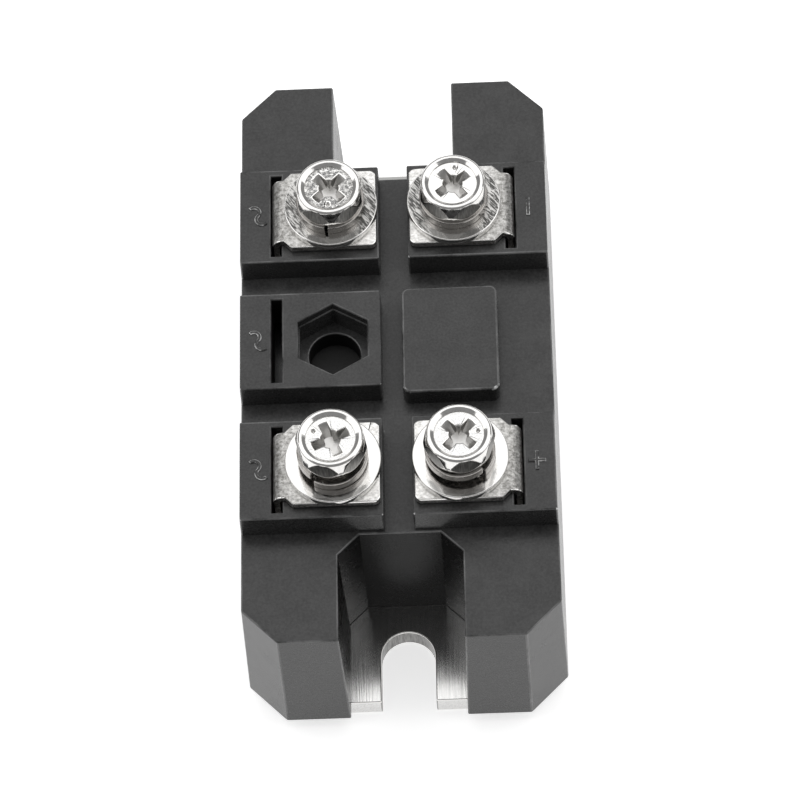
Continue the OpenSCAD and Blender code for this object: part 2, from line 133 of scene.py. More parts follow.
def dressed_copy(node, name):
    """A merged copy of a solid, with its flat faces in one piece each."""
    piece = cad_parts[node].copy()
    piece.data = piece.data.copy()
    piece.name = name
    piece.data.name = name
    piece.parent = None
    for key in list(piece.keys()):
        del piece[key]
    bpy.context.scene.collection.objects.link(piece)
    empty_slots(piece)
    only(piece)
    bpy.ops.object.mode_set(mode="EDIT")
    bpy.ops.mesh.select_all(action="SELECT")
    bpy.ops.mesh.remove_doubles(threshold=0.002 * MM)
    bpy.ops.mesh.dissolve_degenerate(threshold=0.002 * MM)
    bpy.ops.mesh.select_all(action="SELECT")
    bpy.ops.mesh.dissolve_limited(angle_limit=radians(0.5))
    bpy.ops.object.mode_set(mode="OBJECT")
    if piece.data.has_custom_normals:
        bpy.ops.mesh.customdata_custom_splitnormals_clear()
    print(name, "copy:", len(piece.data.polygons), "faces")
    return piece


housing = dressed_copy("housing", "housing_moulding")

# %% [markdown]
# A bevel needs to know which edges are outside corners, and smooth shading needs
# the large faces to stay flat. Weighted normals do that: each corner leans towards
# its largest face, so the bend is left to the narrow bevel.

# %% Helpers for rounding and smoothing


def sharp(edge, least=20):
    """True for an edge between two faces that meet at an outside corner."""
    if len(edge.link_faces) != 2 or not edge.is_convex:
        return False
    return edge.calc_face_angle() > radians(least)


def middle(edge):
    """Middle of an edge, in millimetres."""
    return (edge.verts[0].co + edge.verts[1].co) / 2 / MM


def round_edges(piece, width, segments, test, slot=-1):
    """Bevels the edges that pass a test. slot is the material slot of the new faces."""
    only(piece)
    bpy.ops.object.mode_set(mode="EDIT")
    count = pick(piece, "EDGE", test)
    if count:
        bpy.ops.mesh.bevel(
            offset=width * MM,
            segments=segments,
            affect="EDGES",
            clamp_overlap=False,
            material=slot,
            loop_slide=True,
        )
    bpy.ops.object.mode_set(mode="OBJECT")
    print(piece.name, "bevelled edges:", count)


def smooth(piece, angle=18):
    """Smooth shading across gentle corners, with the large faces kept flat."""
    only(piece)
    bpy.ops.object.shade_smooth_by_angle(angle=radians(angle))
    even = piece.modifiers.new("flat faces", "WEIGHTED_NORMAL")
    even.keep_sharp = True
    even.weight = 100
    bpy.ops.object.modifier_apply(modifier=even.name)


def mark_faces(piece, slot, test):
    """Gives a material slot to the faces whose middle, in millimetres, passes a test."""
    count = 0
    for face in piece.data.polygons:
        if test(face, face.center / MM):
            face.material_index = slot
            count += 1
    print(piece.name, "faces in slot", slot, ":", count)


# %% [markdown]
# ## Housing
#
# The housing is one moulded shell. It has a notch for a fixing screw at each end,
# five raised blocks, a label panel and small raised marks that name the terminals.
# These are the heights and places that the tests below tell its edges apart by.

# %% Places on the housing
SCREW_X = 7.75
PITCH = 18.1
SLOT_X = 14.75
BLOCK_TOP = 27.55
DECK = 23.6
PANEL_TOP = 26.6
POCKET_FLOOR = 23.05
WALL_X = 17.5
WALL_Y = 38.4
NOTCH_X = 8
NOTCH_Y = 24
HOLE_R = 3.4

# The NOTCH slot holds a darker plastic that is painted shade.
FLAT, EDGE, PAINTED_SHADE_DEEP, WORN_AND_GLINT, NOTCH = range(5)
print("slots of the housing:", FLAT, EDGE, PAINTED_SHADE_DEEP, WORN_AND_GLINT, NOTCH)

# %% [markdown]
# The radius differs: 0.2 mm on the body and 0.3 mm on the label panel. The marks
# have 0.1 mm, cut straight because they are so small. So each has its own test.

# %% Which edges of the housing are rounded


def panel_rim(edge):
    """Rim of the label panel, with the short edges of its round corners."""
    return sharp(edge) and abs(middle(edge).z - PANEL_TOP) < 0.05 and middle(edge).x > 0.5


def mark_edge(edge):
    """Upper outline of the raised marks on the terminal blocks."""
    return sharp(edge) and middle(edge).z > BLOCK_TOP + 0.15


def hole_rim(edge):
    """Rim of the blind hole in the floor of the empty nut pocket."""
    spot = middle(edge)
    beside = Vector((spot.x + SCREW_X, spot.y)).length
    return sharp(edge) and beside < HOLE_R and abs(spot.z - POCKET_FLOOR) < 0.02


def body_edge(edge):
    """Long outside edges of the housing that can be seen or touched."""
    spot = middle(edge)
    walls = abs(spot.x) > WALL_X or abs(spot.y) > WALL_Y
    notch = abs(spot.y) > NOTCH_Y and abs(spot.x) < NOTCH_X and spot.z > 2
    tops = spot.z > DECK - 0.1
    seen = tops or ((walls or notch) and spot.z > 0.5)
    drawn_alone = panel_rim(edge) or spot.z > BLOCK_TOP + 0.02
    return sharp(edge) and edge.calc_length() > 1.2 * MM and seen and not drawn_alone


round_edges(housing, 0.2, 2, body_edge, slot=EDGE)
round_edges(housing, 0.3, 3, panel_rim, slot=EDGE)

# %% [markdown]
# Some faces get a finish of their own. Deep slots are painted black as shade, the
# notch walls are painted darker and duller than the outside as shade, and the corners
# where three edges meet are rubbed pale, partly as painted glints.

# %% Which faces of the housing differ


def row_distance(y):
    """Distance along the module from the nearest row of blocks."""
    return min(abs(y), abs(abs(y) - PITCH))


def painted_shade_deep_inside(face, spot):
    """Walls of the busbar slots, and the blind hole under the empty nut pocket, painted near-black
    as shade.
    """
    in_slot = abs(abs(spot.x) - SLOT_X) < 0.75 and row_distance(spot.y) < 5.95
    in_hole = Vector((spot.x + SCREW_X, spot.y)).length < HOLE_R
    below = 20 < spot.z < POCKET_FLOOR - 0.02
    return (in_slot and 21 < spot.z < BLOCK_TOP - 0.3) or (in_hole and below)


def in_notch_painted_shade(face, spot):
    """Upright faces of the two mounting notches, painted darker and duller as shade."""
    return abs(face.normal.z) < 0.2 and abs(spot.x) < NOTCH_X and 25.2 < abs(spot.y) < 38.5


def worn_and_glint_corner(face, spot):
    """The small faces where three rounded edges meet, at the front of a raised block; their pale
    specks are partly wear and partly painted glints.
    """
    small = face.area < 0.08 * MM * MM
    return small and face.normal.y < -0.1 and spot.z > DECK + 2.7 and face.normal.z > 0.1


mark_faces(housing, PAINTED_SHADE_DEEP, painted_shade_deep_inside)
mark_faces(housing, WORN_AND_GLINT, worn_and_glint_corner)
mark_faces(housing, NOTCH, in_notch_painted_shade)
round_edges(housing, 0.1, 1, mark_edge, slot=WORN_AND_GLINT)
round_edges(housing, 0.16, 2, hole_rim, slot=EDGE)
smooth(housing)

# %% [markdown]
# ## Base plate and busbars
#
# The plate and the four busbars are stamped from sheet. Stamping rounds an edge
# over a little and polishes it, so all their outside edges get a narrow bevel in
# the slot for edges. The wall of the plate's open slot is sheared, not brushed,
# and gets a third slot.

# %% Base plate and busbars
SHEARED = 2
BUSBARS = ["terminal_ac_front", "terminal_ac_rear", "terminal_positive", "terminal_negative"]


def sheared_wall(face, spot):
    return abs(face.normal.z) < 0.1 and abs(spot.x) < 3.5


def busbar_edge(edge):
    return sharp(edge) and edge.calc_length() > 0.05 * MM


base_plate = dressed_copy("base_plate", "base_plate_stamping")
round_edges(base_plate, 0.15, 2, sharp, slot=EDGE)
mark_faces(base_plate, SHEARED, sheared_wall)
smooth(base_plate)

busbars = {}
for node in BUSBARS:
    busbars[node] = dressed_copy(node, node + "_busbar")
    round_edges(busbars[node], 0.14, 2, busbar_edge, slot=EDGE)
    smooth(busbars[node])

# %% [markdown]
# ## Fasteners
#
# Each terminal has a flat washer, a split spring washer and a hexagon screw with a
# dished head and a cross recess. The four sets stand on the same pitch. On the
# front pair the spring washers are still open, as on a screw that has only been
# turned in by hand. No two screws stop at the same turn, so each set has its own
# angles, in degrees, for the head, the recess, the split and the punched dimple.

# %% Places of the fasteners
WASHER_Z = 28.75
WASHER_T = 1.0
SPRING_T = 1.3
SPRING_Z = WASHER_Z + WASHER_T
OPEN_RISE = 1.25

SETS = {
    "front_left": {"x": -1, "y": -1, "rise": OPEN_RISE,
                   "head": 46, "recess": 24, "split": 235, "dimple": 151},
    "front_right": {"x": 1, "y": -1, "rise": OPEN_RISE,
                    "head": 10, "recess": 47, "split": 312, "dimple": 10},
    "rear_left": {"x": -1, "y": 1, "rise": 0.0,
                  "head": 34, "recess": 44, "split": 263, "dimple": 267},
    "rear_right": {"x": 1, "y": 1, "rise": 0.0,
                   "head": 26, "recess": 37, "split": 60, "dimple": 83},
}


def turned_about(piece, angle):
    """Turns a piece's mesh about its own upright axis."""
    piece.data.transform(Matrix.Rotation(radians(angle), 4, "Z"))


def settle(piece, terminal, height):
    """Moves a piece's mesh to its terminal, so that the object stays at the origin."""
    spot = Vector((terminal["x"] * SCREW_X, terminal["y"] * PITCH, height))
    piece.data.transform(Matrix.Translation(spot * MM))


def copied(piece, name):
    """A copy with a mesh of its own."""
    twin = piece.copy()
    twin.data = piece.data.copy()
    twin.name = name
    twin.data.name = name
    bpy.context.scene.collection.objects.link(twin)
    return twin


# %% [markdown]
# The flat washer is stamped from sheet: a disc with a punched hole, whose edges
# are drawn round. A cylinder is added, both of its flat faces are inset to the
# size of the hole, the two inner faces are taken away and their rims are bridged
# into the bore. It is modelled once and copied.

# %% Flat washers
WASHER_R = 5.9
WASHER_BORE_R = 2.75


def flat_face(face):
    return abs(face.normal.z) > 0.99


def washer_model():
    bpy.ops.object.select_all(action="DESELECT")
    bpy.ops.mesh.primitive_cylinder_add(
        vertices=96, radius=WASHER_R * MM, depth=WASHER_T * MM, location=(0, 0, WASHER_T / 2 * MM)
    )
    bpy.ops.object.transform_apply(location=True)
    washer = bpy.context.object
    bpy.ops.object.mode_set(mode="EDIT")
    pick(washer, "FACE", flat_face)
    bpy.ops.mesh.inset(thickness=(WASHER_R - WASHER_BORE_R) * MM, depth=0)
    bpy.ops.mesh.delete(type="FACE")
    pick(washer, "EDGE", lambda edge: edge.is_boundary)
    bpy.ops.mesh.bridge_edge_loops()
    bpy.ops.object.mode_set(mode="OBJECT")
    empty_slots(washer)
    mark_faces(washer, 1, lambda face, spot: face.normal.z > 0.99)
    round_edges(washer, 0.16, 5, lambda edge: sharp(edge, 60), slot=0)
    smooth(washer)
    return washer


washer = washer_model()
washers = {}
for name, terminal in SETS.items():
    washers[name] = copied(washer, "flat_washer_" + name)
    turned_about(washers[name], terminal["head"])
    settle(washers[name], terminal, WASHER_Z)
bpy.data.objects.remove(washer)
print(len(washers), "flat washers")

# %% [markdown]
# A spring washer is a bar wound round once and cut off, so its ends stand beside
# each other. The bar's section is a rectangle, and a Screw modifier winds it
# round the axis while it climbs. Its two open ends are then filled.

# %% Spring washers
SPRING_IN_R = 2.65
SPRING_OUT_R = 4.3
SPRING_SPLIT = 5


def spring_washer_model(name, rise):
    bpy.ops.object.select_all(action="DESELECT")
    bpy.ops.mesh.primitive_plane_add(size=1, rotation=(radians(90), 0, 0))
    bar = bpy.context.object
    bar.name = name
    bar.scale = ((SPRING_OUT_R - SPRING_IN_R) * MM, SPRING_T * MM, 1)
    bar.location = ((SPRING_OUT_R + SPRING_IN_R) / 2 * MM, 0, SPRING_T / 2 * MM)
    bpy.ops.object.transform_apply(location=True, rotation=True, scale=True)
    bpy.ops.object.mode_set(mode="EDIT")
    bpy.ops.mesh.select_all(action="SELECT")
    bpy.ops.mesh.delete(type="ONLY_FACE")
    bpy.ops.object.mode_set(mode="OBJECT")
    winding = bar.modifiers.new("winding", "SCREW")
    winding.angle = radians(360 - SPRING_SPLIT)
    winding.screw_offset = rise * MM
    winding.steps = 72
    winding.render_steps = 72
    winding.use_normal_calculate = True
    bpy.ops.object.modifier_apply(modifier=winding.name)
    bpy.ops.object.mode_set(mode="EDIT")
    bpy.ops.mesh.select_all(action="SELECT")
    bpy.ops.mesh.fill_holes(sides=4)
    bpy.ops.mesh.select_all(action="SELECT")
    bpy.ops.mesh.normals_make_consistent(inside=False)
    bpy.ops.object.mode_set(mode="OBJECT")
    round_edges(bar, 0.12, 2, lambda edge: sharp(edge, 50))
    smooth(bar)
    return bar


springs = {}
for name, terminal in SETS.items():
    springs[name] = spring_washer_model("spring_washer_" + name, terminal["rise"])
    turned_about(springs[name], terminal["split"] + SPRING_SPLIT / 2)
    settle(springs[name], terminal, SPRING_Z)

# %% [markdown]
# The screw is made from simple solids that are joined or cut by Boolean modifiers,
# as a lathe and a press would shape it from a bar. A prism or a cone is a primitive
# that only needs its size and place.

# %% Helpers for cut shapes


def prism(name, sides, r_low, r_high, z_low, z_high, turn=0):
    """An upright prism or cone between two heights."""
    bpy.ops.object.select_all(action="DESELECT")
    bpy.ops.mesh.primitive_cone_add(
        vertices=sides,
        radius1=r_low * MM,
        radius2=r_high * MM,
        depth=(z_high - z_low) * MM,
        location=(0, 0, (z_low + z_high) / 2 * MM),
        rotation=(0, 0, radians(turn)),
    )
    bpy.ops.object.transform_apply(location=True, rotation=True)
    made = bpy.context.object
    made.name = name
    return made


def combine(piece, tool, how):
    """Boolean of a piece with a tool, which is used up."""
    only(piece)
    cut = piece.modifiers.new("cut", "BOOLEAN")
    cut.operation = how
    cut.object = tool
    cut.solver = "EXACT"
    bpy.ops.object.modifier_apply(modifier=cut.name)
    bpy.data.objects.remove(tool)


# %% [markdown]
# A turned shape is a profile that a Screw modifier winds round the axis. The
# profile is a bare line, which the mesh of a plane is emptied to hold. Where the
# profile touches the axis, the wound mesh has many vertices in one place, and
# merging them closes it.

# %% Helpers for turned shapes


def profile_line(name, points):
    """An open line through points of radius and height."""
    bpy.ops.object.select_all(action="DESELECT")
    bpy.ops.mesh.primitive_plane_add(size=1)
    line = bpy.context.object
    line.name = name
    line.data.clear_geometry()
    line.data.from_pydata([(out * MM, 0, height * MM) for out, height in points],
                          [(i, i + 1) for i in range(len(points) - 1)], [])
    return line


def wind(line, steps, turns=1, climb=0):
    """Winds a line round the upright axis. climb is its rise in each turn."""
    winding = line.modifiers.new("winding", "SCREW")
    winding.angle = radians(360)
    winding.screw_offset = climb * MM
    winding.iterations = turns
    winding.steps = steps
    winding.render_steps = steps
    winding.use_merge_vertices = climb == 0
    winding.merge_threshold = 0.001 * MM
    bpy.ops.object.modifier_apply(modifier=winding.name)


def turned(name, profile, steps):
    """A closed solid of revolution."""
    made = profile_line(name, profile)
    wind(made, steps)
    bpy.ops.object.mode_set(mode="EDIT")
    bpy.ops.mesh.select_all(action="SELECT")
    bpy.ops.mesh.remove_doubles(threshold=0.001 * MM)
    bpy.ops.mesh.normals_make_consistent(inside=False)
    bpy.ops.object.mode_set(mode="OBJECT")
    return made


def arc(out, height, radius, start, end, steps=5):
    """Points of a profile along an arc, from start to end in degrees."""
    turns = [radians(start + (end - start) * i / steps) for i in range(steps + 1)]
    return [(out + radius * cos(turn), height + radius * sin(turn)) for turn in turns]


print("an arc has", len(arc(0, 0, 1, 0, 90)), "points")

# %% [markdown]
# The screw's head is a hexagon whose corners are turned off to a cone at the top
# and the bottom, so each flat is a lens between two curved lines. That is a
# hexagonal prism and a turned blank in the same place, and a Boolean keeps what
# they have in common. The blank already has the dish and the lip about it. The
# lip is round on top and slopes inwards, and the slope is what shows as a dark
# arc at its far side.

# %% Screw head
HEAD_AF = 8.0
HEAD_CORNER_R = 4.4
HEAD_WAIST = 0.4
HEAD_H = 3.2
TURNED_IN = 0.05
LIP_OUT_R = 0.45
LIP_OUT_AT = 3.62
LIP_IN_R = 0.3
LIP_IN_AT = 3.58
LIP_SLOPE = 34
SLOPE_END_R = 3.06
DISH_LOW_R = 3.0
DISH_H = 0.45
DISH_FLOOR = HEAD_H - DISH_H


def head_model():
    corner_r = HEAD_AF / 2 / cos(radians(30))
    edge_r = HEAD_AF / 2 - TURNED_IN
    low = (HEAD_H - HEAD_WAIST) / 2
    profile = [(0, 0), (edge_r, 0), (HEAD_CORNER_R, low), (HEAD_CORNER_R, HEAD_H - low)]
    profile += arc(LIP_OUT_AT, HEAD_H - LIP_OUT_R, LIP_OUT_R, 18, 90)
    profile += arc(LIP_IN_AT, HEAD_H - LIP_IN_R, LIP_IN_R, 90, 90 + LIP_SLOPE)
    out, height = profile[-1]
    profile += [(SLOPE_END_R, height - (out - SLOPE_END_R) * tan(radians(LIP_SLOPE)))]
    profile += [(DISH_LOW_R, DISH_FLOOR), (0, DISH_FLOOR)]
    head = turned("head", profile, 96)
    combine(head, prism("hexagon", 6, corner_r, corner_r, -1, HEAD_H + 1, turn=30), "INTERSECT")
    return head


head = head_model()
print("head:", len(head.data.polygons), "faces")

# %% [markdown]
# A cross recess is pressed into the dish by a punch with four tapering arms, and
# a small dimple is punched beside it. Both are made as the punch, and cut away.
# The arms are two crossed bars, each cut to a cone so that they grow towards the
# top.

# %% Cross recess and dimple
RECESS_R = 2.45
RECESS_BAR = 1.1
RECESS_H = 1.9
DIMPLE_OUT = 2.35


def recess_model():
    tip = DISH_FLOOR - RECESS_H
    cross = prism("recess", 64, 0.7, 1.25, tip, DISH_FLOOR + 0.01)
    for turn in (0, 90):
        bar_z = DISH_FLOOR - RECESS_H / 2 + 0.5
        bpy.ops.mesh.primitive_cube_add(size=1, location=(0, 0, bar_z * MM))
        arm = bpy.context.object
        arm.scale = (3 * RECESS_R * MM, RECESS_BAR * MM, (RECESS_H + 1) * MM)
        arm.rotation_euler = (0, 0, radians(turn))
        bpy.ops.object.transform_apply(location=True, rotation=True, scale=True)
        combine(arm, prism("reach", 64, 1.25, RECESS_R + 0.57, tip, DISH_FLOOR + 0.99), "INTERSECT")
        combine(cross, arm, "UNION")
    return cross


def dimple_model():
    dimple = prism("dimple", 24, 0.08, 0.34, DISH_FLOOR - 0.3, DISH_FLOOR + 0.04)
    dimple.data.transform(Matrix.Translation((DIMPLE_OUT * MM, 0, 0)))
    return dimple


print("recess reaches", RECESS_R, "mm from the axis and", RECESS_H, "mm down")

# %% [markdown]
# The press rounds the rim of the recess, and the lathe leaves a thin bright line
# round each flat. The dish, the recess and the flats all shine differently, so
# each gets a material slot, found by height, by distance from the axis and by
# the way the face looks.

# %% Faces and edges of the head
LIP, DISH, RECESS, SIDE, RIM = range(5)


def from_axis(spot):
    return Vector((spot.x, spot.y)).length


def recess_rim(edge):
    """Outline of the recess and of the dimple in the floor of the dish."""
    spot = middle(edge)
    inside = from_axis(spot) < DISH_LOW_R - 0.15
    return sharp(edge, 25) and inside and spot.z > DISH_FLOOR - 0.02


def is_flat(face):
    """True for one of the six flats of the hexagon."""
    off = face.calc_center_median().dot(face.normal) / MM - HEAD_AF / 2
    return abs(face.normal.z) < 0.01 and abs(off) < 0.02 and face.calc_area() > 2 * MM * MM


def flat_outline(edge):
    """The curved lines where a flat runs out into the turned corners."""
    return sum(is_flat(face) for face in edge.link_faces) == 1


def in_dish(face, spot):
    return abs(spot.z - DISH_FLOOR) < 0.02


def in_recess(face, spot):
    return DISH_FLOOR - RECESS_H - 0.1 < spot.z < DISH_FLOOR - 0.03 and from_axis(spot) < 3.0


def on_side(face, spot):
    return abs(face.normal.z) < 0.1 and spot.z > 0.2 and from_axis(spot) > 3.6


print("slots of the head:", LIP, DISH, RECESS, SIDE, RIM)

# %% [markdown]
# The thread is a ridge that climbs 0.8 mm in each turn. A Screw modifier winds its
# outline too far at both ends, and Bisect then cuts the shank off. Its fill leaves
# both ends uneven by 0.1 mm and partly open. The head hides the upper end and the
# housing hides the lower one.

# %% Shank with its thread
THREAD_PITCH = 0.8
THREAD_R = 2.5
THREAD_DEPTH = 0.42
SCREW_L = 10
IN_HEAD = 0.5


def shank_model():
    root = THREAD_R - THREAD_DEPTH
    ridge = [(root, 0), (THREAD_R, 0.38), (THREAD_R, 0.44), (root, THREAD_PITCH)]
    low = -SCREW_L - THREAD_PITCH
    shank = profile_line("shank", [(out, low + height) for out, height in ridge])
    wind(shank, 32, turns=15, climb=THREAD_PITCH)
    bpy.ops.object.mode_set(mode="EDIT")
    bpy.ops.mesh.select_all(action="SELECT")
    bpy.ops.mesh.remove_doubles(threshold=0.005 * MM)
    for height, side in ((-SCREW_L, -1), (IN_HEAD, 1)):
        bpy.ops.mesh.select_all(action="SELECT")
        bpy.ops.mesh.bisect(
            plane_co=(0, 0, height * MM),
            plane_no=(0, 0, side),
            use_fill=True,
            clear_outer=True,
        )
    bpy.ops.mesh.select_all(action="SELECT")
    bpy.ops.mesh.normals_make_consistent(inside=False)
    bpy.ops.object.mode_set(mode="OBJECT")
    return shank


shank = shank_model()
print("shank:", len(shank.data.polygons), "faces")

# %% [markdown]
# Each screw is a copy of the head, cut by its own punches and joined to a copy of
# the shank. Joining sets the material slots back, so they are put down first and
# given again.

# %% Four screws


def join_keeping_slots(piece, other):
    """Joins other to a piece whose faces already have their material slots."""
    slots = [face.material_index for face in piece.data.polygons]
    slots += [0] * len(other.data.polygons)
    only(piece)
    other.select_set(True)
    bpy.ops.object.join()
    for face, slot in zip(piece.data.polygons, slots):
        face.material_index = slot


def screw_model(name, terminal):
    screw = copied(head, name)
    turned_about(screw, terminal["head"])
    for punch, angle in ((recess_model(), terminal["recess"]), (dimple_model(), terminal["dimple"])):
        turned_about(punch, angle)
        combine(screw, punch, "DIFFERENCE")
    empty_slots(screw)
    mark_faces(screw, DISH, in_dish)
    mark_faces(screw, RECESS, in_recess)
    mark_faces(screw, SIDE, on_side)
    round_edges(screw, 0.15, 2, recess_rim, slot=RIM)
    round_edges(screw, 0.08, 1, flat_outline, slot=RIM)
    join_keeping_slots(screw, copied(shank, "thread"))
    settle(screw, terminal, SPRING_Z + SPRING_T + terminal["rise"])
    smooth(screw)
    return screw


screws = {}
for name, terminal in SETS.items():
    screws[name] = screw_model("terminal_screw_" + name, terminal)
    print(screws[name].name, len(screws[name].data.polygons), "faces")
bpy.data.objects.remove(head)
bpy.data.objects.remove(shank)

# %% [markdown]
# ## Finishes
#
# A finish is a small network of shader nodes. To keep the maths readable, a Wire
# stands for one output, and adding or multiplying wires adds the Math nodes.

# %% Shader maths


class Wire:
    """One output of a node, with sums that add Math nodes."""

    def __init__(self, finish, socket):
        self.finish = finish
        self.socket = socket

    def __add__(self, other):
        return self.finish.math("ADD", self, other)

    def __radd__(self, other):
        return self.finish.math("ADD", other, self)

    def __sub__(self, other):
        return self.finish.math("SUBTRACT", self, other)

    def __rsub__(self, other):
        return self.finish.math("SUBTRACT", other, self)

    def __mul__(self, other):
        return self.finish.math("MULTIPLY", self, other)

    def __rmul__(self, other):
        return self.finish.math("MULTIPLY", other, self)


def grey(level):
    """Linear colour of a neutral grey that shows as this level, 0 to 255."""
    part = level / 255
    value = part / 12.92 if part < 0.04045 else ((part + 0.055) / 1.055) ** 2.4
    return (value, value, value)


print("grey 80 is", round(grey(80)[0], 4))

# %% [markdown]
# A Finish holds one material. Its node method adds any kind of node, and the few
# methods after it are the patterns that every finish here is made of. Patterns
# read the object's own coordinates in millimetres, so they stay on the piece.

# %% Finishes


class Finish:
    """One material and the nodes that make it."""

    def __init__(self, name, **constants):
        self.material = bpy.data.materials.new(name)
        self.material.use_nodes = True
        self.tree = self.material.node_tree
        self.shader = self.tree.nodes["Principled BSDF"]
        for socket, value in constants.items():
            self.shader.inputs[socket.replace("_", " ")].default_value = value

    def node(self, kind, settings=None, inputs=None, output=0):
        """Adds a node: first its settings, then the values or wires of its inputs."""
        made = self.tree.nodes.new(kind)
        for key, value in (settings or {}).items():
            setattr(made, key, value)
        for key, value in (inputs or {}).items():
            if isinstance(value, Wire):
                self.tree.links.new(value.socket, made.inputs[key])
            else:
                made.inputs[key].default_value = value
        return Wire(self, made.outputs[output])

    def math(self, operation, a, b=0.0):
        return self.node("ShaderNodeMath", {"operation": operation}, {0: a, 1: b})

    def place_mm(self, stretch=(1, 1, 1), turn=0):
        """Object coordinates in millimetres, turned about Z and then stretched."""
        spot = self.node("ShaderNodeTexCoord", output=3)
        turned_spot = self.node("ShaderNodeVectorRotate", {"rotation_type": "Z_AXIS"},
                                {"Vector": spot, "Angle": radians(turn)})
        scale = tuple(part / MM for part in stretch)
        return self.node("ShaderNodeVectorMath", {"operation": "MULTIPLY"},
                         {0: turned_spot, 1: scale})

    def axis(self, name):
        """One coordinate of the place, in millimetres."""
        return self.node("ShaderNodeSeparateXYZ", None, {0: self.place_mm()}, output=name)

    def noise(self, scale, detail=2.0, stretch=(1, 1, 1), rough=0.5, turn=0):
        """Cloudy noise; scale is its number of clouds per millimetre."""
        inputs = {
            "Vector": self.place_mm(stretch, turn),
            "Scale": scale,
            "Detail": detail,
            "Roughness": rough,
        }
        return self.node("ShaderNodeTexNoise", None, inputs)

    def between(self, value, low, high):
        """Stretches low..high to 0..1, and holds the ends."""
        ends = {0: value, 1: low, 2: high, 3: 0.0, 4: 1.0}
        return self.node("ShaderNodeMapRange", {"clamp": True}, ends)

    def blend(self, factor, first, second):
        """A colour between two colours."""
        inputs = {0: factor, 6: self.colour(first), 7: self.colour(second)}
        return self.node("ShaderNodeMix", {"data_type": "RGBA"}, inputs, output=2)

    def colour(self, value):
        return value if isinstance(value, Wire) else (*value, 1)

    def feed(self, **sockets):
        """Links wires to the shader."""
        for socket, wire in sockets.items():
            self.tree.links.new(wire.socket, self.shader.inputs[socket.replace("_", " ")])

    def bump(self, height, depth_mm):
        """Relief of the surface; depth_mm is its greatest depth."""
        inputs = {"Height": height, "Distance": depth_mm * MM, "Strength": 1.0}
        self.feed(Normal=self.node("ShaderNodeBump", None, inputs))


print("materials so far:", len(bpy.data.materials))

# %% [markdown]
# ## Moulded plastic
#
# The housing is a glass-filled plastic, moulded against an eroded steel surface.
# It is a dark grey with a fine even grain and a satin sheen, and its edges are
# rubbed a little lighter, partly as a painted highlight. Fine noise is the grain,
# and slow noise shifts the tone and the sheen from place to place.

# %% Plastic finishes


def plastic(name, dark, light, roughness, patch_share=0.35, **constants):
    finish = Finish(name, **constants)
    grain = finish.noise(3.2, 4.0, rough=0.65)
    patches = finish.between(finish.noise(0.3, 4.0), 0.35, 0.65)
    tone = finish.between(grain, 0.36, 0.64) * (1 - patch_share) + patches * patch_share
    finish.feed(Base_Color=finish.blend(tone, grey(dark), grey(light)))
    finish.feed(Roughness=roughness + patches * 0.05 - grain * 0.08)
    finish.bump(grain, 0.02)
    return finish.material


def worn_plastic_and_painted_glints():
    """Corners and the outlines of raised marks, with pale specks that are partly rubbing wear and
    partly painted glints.
    """
    finish = Finish("moulded plastic, worn with painted glints")
    specks = finish.noise(1.1, 2.0)
    # The pale specks stand in partly for wear and partly for painted glints.
    pale = finish.between(specks, 0.44, 0.6)
    finish.feed(Base_Color=finish.blend(pale, grey(60), grey(210)))
    finish.feed(Roughness=0.34 - pale * 0.1)
    return finish.material


housing_finishes = [
    plastic("moulded plastic", 39, 64, 0.26, Specular_IOR_Level=0.38),
    # Rubbed edge: partly real wear, partly a painted highlight on the bevel faces.
    plastic("moulded plastic, rubbed edge with painted highlight", 46, 110, 0.26, patch_share=0.8),
    # Deep slots and the blind hole: painted shade, a near-black plastic.
    plastic("moulded plastic, painted shade deep inside", 8, 16, 0.6),
    worn_plastic_and_painted_glints(),
    # Notch walls: painted shade, a darker plastic with less reflection.
    plastic("moulded plastic, painted shade in the notches", 16, 28, 0.28, Specular_IOR_Level=0.1),
]
print("housing finishes:", [material.name for material in housing_finishes])

# %% [markdown]
# ## Nickel on the busbars and the plate
#
# The busbars are satin nickel over copper, cloudy from the plating bath, with fine
# lines across and darker where the bend has stretched them. The plate is brushed
# along its length, and it is painted darker towards its rear end. Lines are noise
# that is stretched along one axis. Stamped edges are rubbed bright.

# %% Sheet metal finishes


def satin_nickel():
    finish = Finish("satin nickel", Metallic=1.0)
    cloud = finish.noise(2.2, 6.0, rough=0.8)
    lines = finish.noise(2.6, 3.0, stretch=(0.45, 1.5, 1))
    ripples = finish.noise(1.2, 2.0, stretch=(3.0, 0.25, 1))
    bend = finish.between(finish.math("ABSOLUTE", finish.axis("X")), 9.5, 14.0)
    tone = finish.between(cloud, 0.4, 0.6) * 0.55 + finish.between(lines, 0.35, 0.65) * 0.25 + 0.35
    tone = tone - bend * 0.3 - ripples * bend * 0.35
    finish.feed(Base_Color=finish.blend(tone, (0.18, 0.175, 0.165), (0.84, 0.83, 0.81)))
    finish.feed(Roughness=0.26 + cloud * 0.14 + bend * 0.06)
    finish.bump(cloud + lines + ripples * bend, 0.02)
    return finish.material


def brushed_nickel():
    finish = Finish("brushed nickel", Metallic=1.0)
    lines = finish.noise(5.0, 3.0, stretch=(1, 0.04, 1))
    cloud = finish.noise(0.4, 3.0)
    # Towards the rear end the plate is painted darker.
    rear = finish.between(finish.axis("Y"), 30, 37)
    clean = finish.blend(lines, (0.56, 0.56, 0.55), (0.9, 0.89, 0.88))
    finish.feed(Base_Color=finish.blend(rear, clean, (0.3, 0.3, 0.295)))
    finish.feed(Roughness=0.1 + lines * 0.08 + cloud * 0.05)
    finish.bump(lines, 0.01)
    return finish.material


